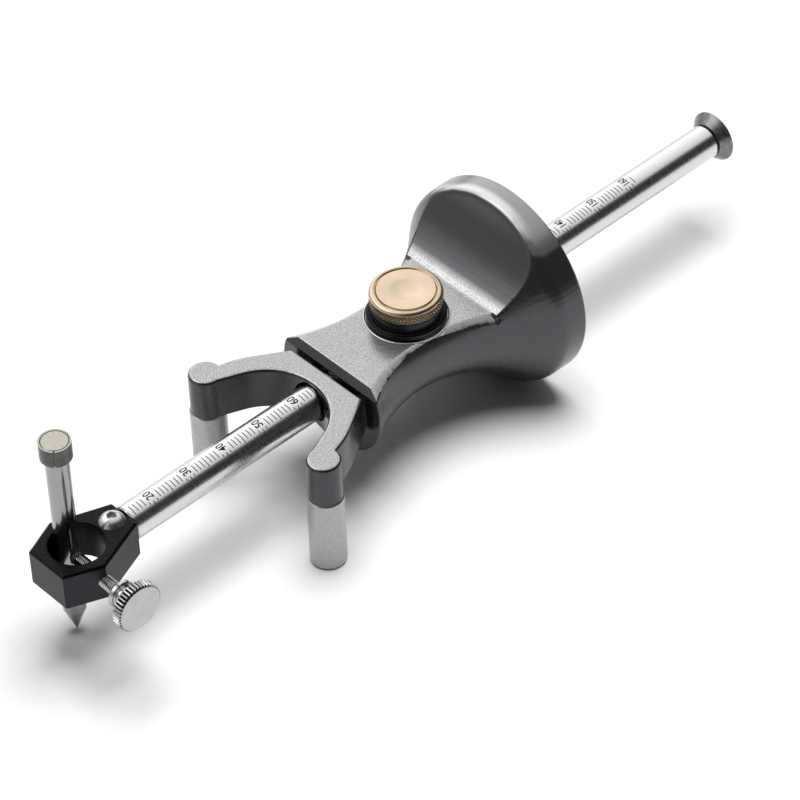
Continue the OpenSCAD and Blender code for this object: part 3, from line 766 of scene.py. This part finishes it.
def turned(name, profile, steps, centre=(0, 0, 0)):
    """A closed turned piece: its outline, as (radius, height) points, drawn and spun round Z."""
    bpy.ops.object.select_all(action="DESELECT")
    bpy.ops.mesh.primitive_plane_add(size=0.001, location=(0, 0, 0))
    piece = bpy.context.active_object
    piece.name = piece.data.name = name
    bpy.ops.object.mode_set(mode="EDIT")
    bpy.ops.mesh.select_all(action="SELECT")
    bpy.ops.mesh.merge(type="CENTER")
    at = Vector((profile[0][0], 0, profile[0][1]))
    bpy.ops.transform.translate(value=Vector(centre) + at)
    for radius, height in profile[1:]:
        to = Vector((radius, 0, height))
        bpy.ops.mesh.extrude_region_move(TRANSFORM_OT_translate={"value": to - at})
        at = to
    bpy.ops.mesh.select_all(action="SELECT")
    bpy.ops.mesh.spin(steps=steps, angle=2 * math.pi, center=centre, axis=(0, 0, 1))
    bpy.ops.mesh.select_all(action="SELECT")
    bpy.ops.mesh.remove_doubles(threshold=MESH_WELD)
    bpy.ops.mesh.normals_make_consistent(inside=False)
    bpy.ops.object.mode_set(mode="OBJECT")
    # the foot looks down when all the faces point outwards
    foot = min(piece.data.polygons, key=lambda polygon: polygon.center.z)
    if foot.normal.z > 0:
        piece.data.flip_normals()
    return piece


def rounding(radius, height, size, start_deg, end_deg, steps):
    """Points of a rounded corner in a turned outline, about its own centre."""
    angles = [math.radians(start_deg + (end_deg - start_deg) * i / steps) for i in range(steps + 1)]
    return [(radius + size * math.cos(a), height + size * math.sin(a)) for a in angles]


def turning_rings(tree, place, axis, size, waver, detail_size=1.0):
    """Fine rings about an axis, as a turning tool leaves them."""
    node = tree.nodes.new("ShaderNodeTexWave")
    node.wave_type = "RINGS"
    node.rings_direction = axis
    node.inputs["Scale"].default_value = size
    node.inputs["Distortion"].default_value = waver
    node.inputs["Detail Scale"].default_value = detail_size
    tree.links.new(place, node.inputs["Vector"])
    return node.outputs["Fac"]


knob_low, knob_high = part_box("lock_knob")
knob_r = (knob_high.x - knob_low.x) / 2
knob_h = knob_high.z - knob_low.z
knob_axis = ((knob_high.x + knob_low.x) / 2, 0, knob_low.z)
side_top = knob_h - KNOB_ROUND
groove_z = knob_h - KNOB_GROOVE_DEEP + KNOB_GROOVE_HALF
outline = [(0, 0), (knob_r - KNOB_FOOT, 0)]
outline += [(knob_r, KNOB_FOOT + (side_top - KNOB_FOOT) * i / KNURL_RINGS) for i in range(KNURL_RINGS + 1)]
outline += rounding(knob_r - KNOB_ROUND, side_top, KNOB_ROUND, start_deg=12, end_deg=90, steps=6)
outline += [(KNOB_GROOVE + KNOB_GROOVE_HALF, knob_h)]
outline += rounding(KNOB_GROOVE, groove_z, KNOB_GROOVE_HALF, start_deg=0, end_deg=-180, steps=6)
outline += [(KNOB_GROOVE - KNOB_GROOVE_HALF, knob_h)]
outline += [(KNOB_DISH * ring, knob_h - KNOB_DISH_DEEP * (1 - ring * ring) ** DISH_FALL)
            for ring in DISH_RINGS]
knob = turned("knob_knurled", outline, KNURL_ROWS * ROW_STEPS, knob_axis)
for v in knob.data.vertices:
    spoke = Vector((v.co.x - knob_axis[0], v.co.y))
    height = v.co.z - knob_axis[2]
    if abs(spoke.length - knob_r) < ON_SIDE:
        row = math.atan2(spoke.y, spoke.x) / (2 * math.pi) * KNURL_ROWS
        lift = height / (2 * math.pi * knob_r / KNURL_ROWS)
        ridge = min(abs((row + lift) % 1 - 0.5), abs((row - lift) % 1 - 0.5)) * 2
        deep = KNURL_DEEP * (1 - min(1, KNURL_FLANK * ridge))
        v.co.x -= spoke.x / spoke.length * deep
        v.co.y -= spoke.y / spoke.length * deep
only_select(knob)
bpy.ops.object.shade_smooth_by_angle(angle=math.radians(KNURL_SMOOTH_ANGLE))

knob_finish, tree, shader, place = finish_named("knob_brass")
bloom = grain(tree, place, BRASS_PATCHES)
knurled_to = knob_axis[2] + side_top
# painted shade in the knurl's grooves
groove_shade = spread(tree, away_from_axis(tree, place, knob_axis, "Z"), knob_r - KNURL_SHADE_FROM, knob_r - KNURL_SHADE_FULL, 0, 1)
on_side = spread(tree, parts_of(tree, place)["Z"], knurled_to - KNURL_SHADE_FADE, knurled_to, 1, 0)
groove_shade = combine(tree, "MULTIPLY", groove_shade, on_side)
brass = mottled(tree, bloom, BRASS, BRASS_LIGHT)
tree.links.new(blend(tree, groove_shade, brass, BRASS_GROOVE_SHADE), shader.inputs["Base Color"])
shader.inputs["Metallic"].default_value = 1.0
shader.inputs["Anisotropic"].default_value = 0.7
around = tree.nodes.new("ShaderNodeTangent")
around.direction_type = "RADIAL"
around.axis = "Z"
tree.links.new(around.outputs["Tangent"], shader.inputs["Tangent"])
tree.links.new(spread(tree, bloom, *GRAIN_SPAN, *BRASS_ROUGH), shader.inputs["Roughness"])
centred = mapped(tree, place, move=(-knob_axis[0], 0, 0))
turning = turning_rings(tree, centred, "Z", KNOB_TURNING, waver=1.5, detail_size=0.5)
raise_grain(tree, shader, turning, height=0.000006, strength=0.1)
dress(knob, knob_finish)
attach(knob, "knob")
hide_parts("lock_knob")


# Marking wheel and its screw: a hardened steel wheel bevelled to an edge, held against the rod's end
# by a countersunk screw.
dress(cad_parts["cutter_wheel"], dark_steel_finish("wheel_hardened", roughness=0.26)[0])
dress(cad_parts["cutter_screw"], dark_steel_finish("wheel_screw_black", roughness=0.32)[0])


# Scribe head: a milled block of black anodised aluminium on the rod's front end, with a round hole for
# the scriber; painted shade darkens the hole's wall.
HEAD_EDGE = 0.00018
HEAD_EDGE_ANGLE = 30
SCRIBER_R = 0.0025
HOLE_R = 0.006
# the painted shade inside the hole ends this far outside its wall
HOLE_SHADE_FULL = 0.00006
HOLE_SHADE_TO = 0.00012

head = eased_copy("scribe_head", "head_milled", HEAD_EDGE, HEAD_EDGE_ANGLE)
head_finish, tree, shader, place = anodised_finish("head_black")
hole_axis = (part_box("scriber_pin")[0].x + SCRIBER_R, 0, 0)
from_hole = away_from_axis(tree, place, hole_axis, "Z")
# painted shade on the wall of the scriber's hole
hole_shade = spread(tree, from_hole, HOLE_R + HOLE_SHADE_TO, HOLE_R + HOLE_SHADE_FULL, 0, 1)
outer_colour = shader.inputs["Base Color"].links[0].from_socket
tree.links.new(blend(tree, hole_shade, outer_colour, PAINTED_SHADE_BLACK), shader.inputs["Base Color"])
dress(head, head_finish)
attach(head, "rod")
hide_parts("scribe_head")


# Head screw: a bright steel button screw with a hexagon socket. It stands on top of the head and
# holds it on the rod's end.
dress(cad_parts["head_screw"], bright_steel_finish("head_screw_steel", roughness=0.3))


# Thumbscrew: nickel plated brass, turned with a collar, a neck and a straight-knurled head. Its
# threaded shank screws through the head's side and clamps the scriber.
THUMB_ROWS = 42
THUMB_RIDGE = 0.00055
THUMB_FLANK = 1.4
THUMB_KNURL_REACH = 0.0005
THUMB_CHAMFER = 0.0004
THUMB_SMOOTH_ANGLE = 26
# rings on the outer face, as shares of the head's radius
FACE_RINGS = (0.6, 0.3, 0)
SHANK_R = 0.0015
THREAD_PITCH = 0.0005
THREAD_DEEP = 0.00027
THREAD_STEPS = 24
# how much of the pitch each flank of the tooth and its crest take up
TOOTH_FLANK = 0.42
TOOTH_CREST = 0.16
COLLAR_AT = -0.0128
COLLAR_T = 0.0011
COLLAR_R = 0.0031
COLLAR_CHAMFER = 0.0002
NECK_R = 0.0023
NECK_LEN = 0.0028
NECK_FOOT = 0.0003
NECK_TOP = 0.0004
NICKEL = (0.44, 0.44, 0.435, 1)
NICKEL_LIGHT = (0.50, 0.50, 0.49, 1)
NICKEL_GROOVE_SHADE = (0.05, 0.05, 0.05, 1)
NICKEL_PATCHES = 500
THUMB_TURNING = 900
# painted shade darkens the grooves between these depths, from a little past the head's inner face
GROOVE_FROM = 0.0001
GROOVE_FULL = 0.0004
GROOVES_START = 0.0001
GROOVES_ALL = 0.0003
# by the sideways share of a face's direction, where the outer face turns into the knurl
THUMB_TURNS = (-0.8, -0.5)

thumb_low, thumb_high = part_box("thumb_screw")
thumb_r = (thumb_high.x - thumb_low.x) / 2
thumb_x = (thumb_high.x + thumb_low.x) / 2
thumb_z = (thumb_high.z + thumb_low.z) / 2
root_r = SHANK_R - THREAD_DEEP
# heights along the screw, from its clamping end outwards
collar = thumb_high.y - COLLAR_AT
neck = collar + COLLAR_T
knurl = neck + NECK_LEN
face = thumb_high.y - thumb_low.y
outline = [(0, 0), (root_r, 0), (root_r, collar)]
outline += [(COLLAR_R - COLLAR_CHAMFER, collar), (COLLAR_R, collar + COLLAR_CHAMFER),
            (COLLAR_R, neck - COLLAR_CHAMFER), (COLLAR_R - COLLAR_CHAMFER, neck)]
outline += [(NECK_R + NECK_FOOT, neck), (NECK_R, neck + NECK_FOOT),
            (NECK_R, knurl - NECK_TOP), (NECK_R + NECK_TOP, knurl)]
outline += [(thumb_r - THUMB_CHAMFER, knurl), (thumb_r, knurl + THUMB_CHAMFER),
            (thumb_r, face - THUMB_CHAMFER), (thumb_r - THUMB_CHAMFER, face)]
outline += [(thumb_r * ring, face) for ring in FACE_RINGS]
thumb = turned("thumbscrew_knurled", outline, THUMB_ROWS * ROW_STEPS)
knurl_root = thumb_r - THUMB_KNURL_REACH
for v in thumb.data.vertices:
    spoke = Vector((v.co.x, v.co.y))
    if spoke.length > knurl_root and v.co.z > neck:
        row = math.atan2(v.co.y, v.co.x) / (2 * math.pi) * THUMB_ROWS
        ridge = abs(row % 1 - 0.5) * 2
        share = (spoke.length - knurl_root) / THUMB_KNURL_REACH
        deep = THUMB_RIDGE * share * (1 - min(1, THUMB_FLANK * ridge))
        v.co.x *= 1 - deep / spoke.length
        v.co.y *= 1 - deep / spoke.length

# the thread is one tooth, wound up the shank
bpy.ops.object.select_all(action="DESELECT")
bpy.ops.mesh.primitive_plane_add(size=0.001, location=(0, 0, 0))
thread = bpy.context.active_object
bpy.ops.object.mode_set(mode="EDIT")
bpy.ops.mesh.select_all(action="SELECT")
bpy.ops.mesh.merge(type="CENTER")
bpy.ops.transform.translate(value=(root_r, 0, 0))
for radial, rise in ((THREAD_DEEP, TOOTH_FLANK), (0, TOOTH_CREST), (-THREAD_DEEP, TOOTH_FLANK)):
    bpy.ops.mesh.extrude_region_move(TRANSFORM_OT_translate={"value": (radial, 0, rise * THREAD_PITCH)})
bpy.ops.object.mode_set(mode="OBJECT")
winding = thread.modifiers.new("winding", "SCREW")
winding.steps = winding.render_steps = THREAD_STEPS
winding.screw_offset = THREAD_PITCH
winding.iterations = int(collar / THREAD_PITCH) - 1
winding.use_merge_vertices = True
winding.merge_threshold = MESH_WELD
bpy.ops.object.modifier_apply(modifier="winding")
bpy.ops.object.select_all(action="DESELECT")
thread.select_set(True)
thumb.select_set(True)
bpy.context.view_layer.objects.active = thumb
bpy.ops.object.join()
# laid along the head's side hole, clamping end first
for v in thumb.data.vertices:
    v.co = (thumb_x + v.co.x, thumb_high.y - v.co.z, thumb_z + v.co.y)
bpy.ops.object.mode_set(mode="EDIT")
bpy.ops.mesh.select_all(action="SELECT")
bpy.ops.mesh.normals_make_consistent(inside=False)
bpy.ops.object.mode_set(mode="OBJECT")
only_select(thumb)
bpy.ops.object.shade_smooth_by_angle(angle=math.radians(THUMB_SMOOTH_ANGLE))

thumb_finish, tree, shader, place = finish_named("thumbscrew_nickel")
plating = grain(tree, place, NICKEL_PATCHES, detail=3.0, rough=0.6)
coat(tree, shader, plating, (NICKEL, NICKEL_LIGHT), metallic=1.0, roughness=(0.13, 0.19))
from_thumb_axis = away_from_axis(tree, place, (thumb_x, 0, thumb_z), "Y")
# painted shade in the knurl's grooves
groove_shade = spread(tree, from_thumb_axis, thumb_r - GROOVE_FROM, thumb_r - GROOVE_FULL, 0, 1)
knurl_y = thumb_high.y - knurl
on_knurl = spread(tree, parts_of(tree, place)["Y"], knurl_y - GROOVES_START, knurl_y - GROOVES_ALL, 0, 1)
off_face = spread(tree, facing(tree, place)["Y"], *THUMB_TURNS, 0, 1)
groove_shade = combine(tree, "MULTIPLY", groove_shade, combine(tree, "MULTIPLY", on_knurl, off_face))
plated = shader.inputs["Base Color"].links[0].from_socket
tree.links.new(blend(tree, groove_shade, plated, NICKEL_GROOVE_SHADE), shader.inputs["Base Color"])
centred = mapped(tree, place, move=(-thumb_x, 0, -thumb_z))
rings = turning_rings(tree, centred, "Y", THUMB_TURNING, waver=0.6)
raise_grain(tree, shader, rings, height=0.000005, strength=0.06)
dress(thumb, thumb_finish)
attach(thumb, "thumb")
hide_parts("thumb_screw")


# Thumbscrew tip: a soft black plug of matt plastic in the screw's end, which keeps the screw from
# marking the scriber.
TIP_BLACK = (0.02, 0.02, 0.02, 1)
TIP_BLACK_LIGHT = (0.05, 0.05, 0.05, 1)
TIP_GRAINS = 3000

tip_finish, tree, shader, place = finish_named("tip_black")
coat(tree, shader, grain(tree, place, TIP_GRAINS), (TIP_BLACK, TIP_BLACK_LIGHT), metallic=0.0,
     roughness=(0.5, 0.7))
dress(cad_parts["thumb_tip"], tip_finish)


# Scriber: a ground steel pin with a turned point, clamped in the head's hole by the thumbscrew. Its
# upper end is ground too, with faint marks that run out from its middle.
SCRIBER_STEEL = (0.31, 0.31, 0.31, 1)
SCRIBER_STEEL_LIGHT = (0.36, 0.36, 0.36, 1)
SCRIBER_LINES = (400, 400, 5000)
END_STEEL = (0.37, 0.345, 0.305, 1)
END_STEEL_LIGHT = (0.44, 0.415, 0.37, 1)
END_MARKS = 22
# painted shade on the scriber where it lies inside the sleeve, seen through the sleeve's split
UNDER_SLEEVE_SHADE = (0.12, 0.112, 0.10, 1)
SLEEVE_FADE = 0.00002
# by the upward share of a face's direction, where a side turns into the ground end
END_TURNS = (0.5, 0.6)

pin_low, pin_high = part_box("scriber_pin")
pin_x, pin_y = (pin_low.x + pin_high.x) / 2, (pin_low.y + pin_high.y) / 2
sleeve_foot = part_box("scriber_sleeve")[0].z
scriber_finish, tree, shader, place = finish_named("scriber_ground_steel")
marks = grain(tree, mapped(tree, place, stretch=SCRIBER_LINES), 1.0)
coat(tree, shader, marks, (SCRIBER_STEEL, SCRIBER_STEEL_LIGHT), metallic=1.0, roughness=(0.13, 0.17))
sweep = tree.nodes.new("ShaderNodeTexGradient")
sweep.gradient_type = "RADIAL"
tree.links.new(mapped(tree, place, move=(-pin_x, -pin_y, 0)), sweep.inputs["Vector"])
spokes = tree.nodes.new("ShaderNodeTexNoise")
spokes.noise_dimensions = "1D"
spokes.inputs["Scale"].default_value = END_MARKS
tree.links.new(sweep.outputs["Fac"], spokes.inputs["W"])
end = mottled(tree, spokes.outputs["Fac"], END_STEEL, END_STEEL_LIGHT)
in_sleeve = spread(tree, parts_of(tree, place)["Z"], sleeve_foot, sleeve_foot + SLEEVE_FADE, 0, 1)
upward = spread(tree, facing(tree, place)["Z"], *END_TURNS, 0, 1)
side_colour = shader.inputs["Base Color"].links[0].from_socket
colour = blend(tree, in_sleeve, side_colour, UNDER_SLEEVE_SHADE)
tree.links.new(blend(tree, upward, colour, end), shader.inputs["Base Color"])
dress(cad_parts["scriber_pin"], scriber_finish)


# Scriber sleeve: a split sleeve of browned spring steel round the scriber's upper end. Its top was
# ground off flush with the scriber's, so it is bright there.
BROWNED = (0.085, 0.082, 0.076, 1)
BROWNED_WORN = (0.14, 0.134, 0.124, 1)

sleeve_finish, tree, shader, place = dark_steel_finish("sleeve_browned", roughness=0.3,
                                                            dark=BROWNED, worn=BROWNED_WORN)
end = mottled(tree, grain(tree, place, WEAR_GRAINS), END_STEEL, END_STEEL_LIGHT)
upward = spread(tree, facing(tree, place)["Z"], *END_TURNS, 0, 1)
browned = shader.inputs["Base Color"].links[0].from_socket
tree.links.new(blend(tree, upward, browned, end), shader.inputs["Base Color"])
dress(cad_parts["scriber_sleeve"], sleeve_finish)


# Floor: a plain white sheet of paper that the tool stands on. It is matt, and keeps the tool's soft
# shadow.
FLOOR_SIZE = 3.0
FLOOR_WHITE = (0.95, 0.95, 0.95, 1)
FLOOR_SHADE = (0.93, 0.93, 0.935, 1)
FLOOR_PATCHES = 60

bpy.ops.object.select_all(action="DESELECT")
bpy.ops.mesh.primitive_plane_add(size=FLOOR_SIZE, location=(0, 0, 0))
floor = bpy.context.active_object
floor.name = floor.data.name = "floor_sheet"
floor_finish, tree, shader, place = finish_named("floor_white")
fibres = grain(tree, place, FLOOR_PATCHES)
tree.links.new(mottled(tree, fibres, FLOOR_SHADE, FLOOR_WHITE), shader.inputs["Base Color"])
shader.inputs["Roughness"].default_value = 0.9
shader.inputs["Specular IOR Level"].default_value = 0.0
dress(floor, floor_finish)


# Light: a wide soft box overhead that leans to the back, with a brighter spot near its left end, dark
# walls round it with a pale one to the left, and a big soft lamp nearly overhead that sets the shadow
# close under the tool.
WHITE = (1, 1, 1, 1)
BOX_AXIS = (0.302, 0.469, 0.830)
BOX_EDGE = 0.582
BOX_SOFT = 0.06
BOX_FRONT = 0.75
BOX_BACK = 1.7
# by the backward share of a direction, where the box is as bright as in front and as at the back
BOX_DEPTH = (-0.5, 0.9)
BOX_FILL = (0.27, 0.275, 0.29, 1)
WALL_FILL = (0.034, 0.035, 0.038, 1)
WALL_SEEN = 0.035
SIDE_AXIS = (-0.83, 0.55, 0.05)
SIDE_EDGE = 0.4
SIDE_CORE = 0.85
SIDE_SEEN = 0.6
GLOW_AXIS = (-0.58, 0.37, 0.72)
GLOW_EDGE = 0.905
GLOW_CORE = 0.975
GLOW_SEEN = 1.6
LAMP_TOWARDS = (0.09, 0.03, 0.99)
LAMP_AWAY = 0.9
LAMP_SIZE = 0.65
LAMP_POWER = 9.2

world = bpy.data.worlds.new("studio")
bpy.context.scene.world = world
world.use_nodes = True
tree = world.node_tree
ray = tree.nodes.new("ShaderNodeLightPath")
towards = tree.nodes.new("ShaderNodeTexCoord").outputs["Generated"]


def leaning(axis):
    """How far each direction leans towards an axis."""
    node = tree.nodes.new("ShaderNodeVectorMath")
    node.operation = "DOT_PRODUCT"
    node.inputs[1].default_value = axis
    tree.links.new(towards, node.inputs[0])
    return node.outputs["Value"]


def either(share, first, second):
    """One light or another, by the share of the second."""
    node = tree.nodes.new("ShaderNodeMixShader")
    tree.links.new(share, node.inputs["Fac"])
    tree.links.new(first.outputs[0], node.inputs[1])
    tree.links.new(second.outputs[0], node.inputs[2])
    return node


edge = spread(tree, leaning(BOX_AXIS), BOX_EDGE - BOX_SOFT, BOX_EDGE + BOX_SOFT, 0, 1)
box_seen = spread(tree, parts_of(tree, towards)["Y"], *BOX_DEPTH, BOX_FRONT, BOX_BACK)
wall_seen = spread(tree, leaning(SIDE_AXIS), SIDE_EDGE, SIDE_CORE, WALL_SEEN, SIDE_SEEN)
room_seen = spread(tree, edge, 0, 1, 0, 1)
tree.links.new(wall_seen, room_seen.node.inputs["To Min"])
tree.links.new(box_seen, room_seen.node.inputs["To Max"])
glow = spread(tree, leaning(GLOW_AXIS), GLOW_EDGE, GLOW_CORE, 0, GLOW_SEEN)
seen_room = tree.nodes.new("ShaderNodeBackground")
seen_room.inputs["Color"].default_value = WHITE
tree.links.new(combine(tree, "ADD", room_seen, glow), seen_room.inputs["Strength"])
fill_room = tree.nodes.new("ShaderNodeBackground")
tree.links.new(tint(tree, edge, [(0, WALL_FILL), (1, BOX_FILL)]), fill_room.inputs["Color"])
backdrop = tree.nodes["Background"]
backdrop.inputs["Color"].default_value = WHITE
shiny = combine(tree, "MAXIMUM", ray.outputs["Is Glossy Ray"], ray.outputs["Is Transmission Ray"])
room = either(shiny, fill_room, seen_room)
whole = either(ray.outputs["Is Camera Ray"], room, backdrop)
tree.links.new(whole.outputs[0], tree.nodes["World Output"].inputs["Surface"])

lamp = bpy.data.objects.new("soft_lamp", bpy.data.lights.new("soft_lamp", "AREA"))
bpy.context.scene.collection.objects.link(lamp)
lamp.data.shape = "DISK"
lamp.data.size = LAMP_SIZE
lamp.data.energy = LAMP_POWER
lamp.location = Vector(LAMP_TOWARDS).normalized() * LAMP_AWAY
lamp.rotation_mode = "QUATERNION"
lamp.rotation_quaternion = Vector(LAMP_TOWARDS).to_track_quat("Z", "Y")
lamp.visible_glossy = False


# Camera: a long lens on a camera that stands off the tool's scriber end, to its right, and looks down
# at it, tilted a little.
CAMERA_AT = (-0.40055, -0.4431, 0.5735)
CAMERA_AZIMUTH = -42.075
CAMERA_ELEVATION = 43.472
CAMERA_ROLL = -2.028
CAMERA_LENS = 169.99
CAMERA_SENSOR = 36
CAMERA_REACH = (0.01, 20)

camera = bpy.data.objects.new("camera", bpy.data.cameras.new("camera"))
bpy.context.scene.collection.objects.link(camera)
camera.data.lens = CAMERA_LENS
camera.data.sensor_width = CAMERA_SENSOR
camera.data.clip_start, camera.data.clip_end = CAMERA_REACH
camera.location = CAMERA_AT
camera.rotation_mode = "QUATERNION"
camera.rotation_quaternion = (Quaternion((0, 0, 1), math.radians(CAMERA_AZIMUTH))
                              @ Quaternion((1, 0, 0), math.radians(90 - CAMERA_ELEVATION))
                              @ Quaternion((0, 0, 1), math.radians(CAMERA_ROLL)))
bpy.context.scene.camera = camera
bpy.context.scene.view_settings.view_transform = "Standard"
